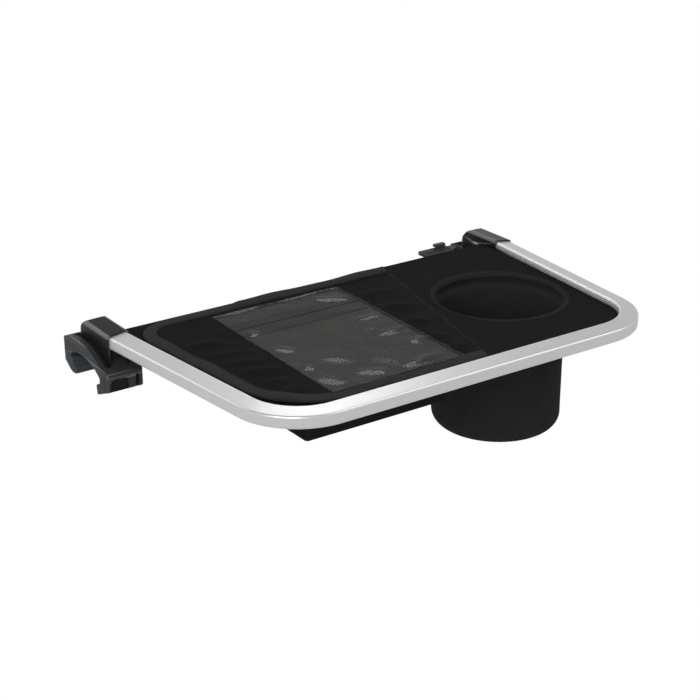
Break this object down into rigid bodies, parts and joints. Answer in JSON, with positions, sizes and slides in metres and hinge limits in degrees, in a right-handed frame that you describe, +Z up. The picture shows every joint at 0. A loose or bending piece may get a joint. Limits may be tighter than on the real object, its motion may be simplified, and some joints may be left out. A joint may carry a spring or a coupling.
{
  "type": "stroller tray",
  "caption": "Stroller handlebar tray: U-shaped aluminium frame, black fabric deck, window lid over a pocket, hanging cup holder and two tilting handlebar clamps.",
  "frame": {"origin": "on the axis of the handlebar that the part clamps on, midway between its two clamps", "axes": "+X to the right along the handlebar, +Y away from the tray's front bar, +Z up"},
  "size_m": [0.3624, 0.2358, 0.1032],
  "materials": {
    "frame_tube_slot": "satin anodised",
    "welt_cord_slot": "fine black weave",
    "deck_panel_slot": "fine black weave",
    "rear_hem_slot": "fine black weave",
    "rear_hem_rod_slot": "plain",
    "seam_piping_slot": "dark grey smooth binding",
    "pocket_tub_slot": "fine black weave",
    "cup_sleeve_slot": "fine black weave",
    "cup_hoop_slot": "plain",
    "cup_base_slot": "plain",
    "cup_lip_slot": "fine black weave",
    "lid_panel_slot": "black stretch fabric",
    "lid_binding_slot": "dark grey smooth binding",
    "window_film_slot": "clear flexible film",
    "window_mesh_slot": "open mesh",
    "left_end_cap_slot": "satin black",
    "right_end_cap_slot": "satin black",
    "left_tilt_foot_slot": "fine matt, dark grey",
    "right_tilt_foot_slot": "fine matt, dark grey",
    "left_saddle_slot": "fine matt, dark grey",
    "right_saddle_slot": "fine matt, dark grey",
    "left_arch_grip_slot": "matt black",
    "right_arch_grip_slot": "matt black",
    "left_tooth_strip_slot": "fine matt, dark grey",
    "right_tooth_strip_slot": "fine matt, dark grey",
    "left_jaw_slot": "soft-touch slate grey",
    "right_jaw_slot": "soft-touch slate grey",
    "left_jaw_pin_slot": "plain",
    "right_jaw_pin_slot": "plain",
    "right_release_tongue_slot": "fine matt, dark grey",
    "right_tongue_pin_slot": "plain",
    "right_release_button_slot": "soft-touch slate grey"
  },
  "bodies": {
    "left_clamp": {"left_saddle": "left_saddle_slot", "left_arch_grip": "left_arch_grip_slot", "left_tooth_strip": "left_tooth_strip_slot", "left_jaw_pin": "left_jaw_pin_slot"},
    "tray": {"frame_tube": "frame_tube_slot", "welt_cord": "welt_cord_slot", "deck_panel": "deck_panel_slot", "rear_hem": "rear_hem_slot", "rear_hem_rod": "rear_hem_rod_slot", "seam_piping": "seam_piping_slot", "pocket_tub": "pocket_tub_slot", "cup_sleeve": "cup_sleeve_slot", "cup_hoop": "cup_hoop_slot", "cup_base": "cup_base_slot", "cup_lip": "cup_lip_slot", "left_end_cap": "left_end_cap_slot", "right_end_cap": "right_end_cap_slot", "left_tilt_foot": "left_tilt_foot_slot", "right_tilt_foot": "right_tilt_foot_slot"},
    "pocket_lid": {"lid_panel": "lid_panel_slot", "lid_binding": "lid_binding_slot", "window_film": "window_film_slot", "window_mesh": "window_mesh_slot"},
    "right_clamp": {"right_saddle": "right_saddle_slot", "right_arch_grip": "right_arch_grip_slot", "right_tooth_strip": "right_tooth_strip_slot", "right_jaw_pin": "right_jaw_pin_slot", "right_tongue_pin": "right_tongue_pin_slot"},
    "left_jaw_body": {"left_jaw": "left_jaw_slot"},
    "right_jaw_body": {"right_jaw": "right_jaw_slot"},
    "release_tongue": {"right_release_tongue": "right_release_tongue_slot"},
    "release_button": {"right_release_button": "right_release_button_slot"}
  },
  "joints": [
    {"name": "tray_tilt", "type": "hinge", "parent": "left_clamp", "child": "tray", "pos_m": [0, 0.0088, -0.0291], "axis": [1, 0, 0], "range_deg": [-5, 5]},
    {"name": "right_clamp_stay", "type": "hinge", "parent": "tray", "child": "right_clamp", "pos_m": [0, 0.0088, -0.0291], "axis": [1, 0, 0], "range_deg": [-5, 5]},
    {"name": "lid_hinge", "type": "hinge", "parent": "tray", "child": "pocket_lid", "pos_m": [0.03745, -0.10025, 0.0352], "axis": [0.2352, 0.9719, 0], "range_deg": [0, 105]},
    {"name": "left_jaw_swing", "type": "hinge", "parent": "left_clamp", "child": "left_jaw_body", "pos_m": [-0.16818, 0.0245, 0.0156], "axis": [-1, 0, 0], "range_deg": [0, 12]},
    {"name": "right_jaw_swing", "type": "hinge", "parent": "right_clamp", "child": "right_jaw_body", "pos_m": [0.16818, 0.0245, 0.0156], "axis": [-1, 0, 0], "range_deg": [0, 12]},
    {"name": "tongue_press", "type": "hinge", "parent": "right_clamp", "child": "release_tongue", "pos_m": [0.14925, 0.0171, 0.0227], "axis": [0, -1, 0], "range_deg": [0, 12], "stiffness_Nm_per_rad": 0.03, "springref_deg": -20.05},
    {"name": "button_press", "type": "slide", "parent": "release_tongue", "child": "release_button", "axis": [0, 0, -1], "range_m": [0, 0.0008], "stiffness_N_per_m": 200, "springref_m": -0.001}
  ],
  "couplings": [
    {"joint": "right_clamp_stay", "follows": "tray_tilt", "ratio": -1}
  ]
}
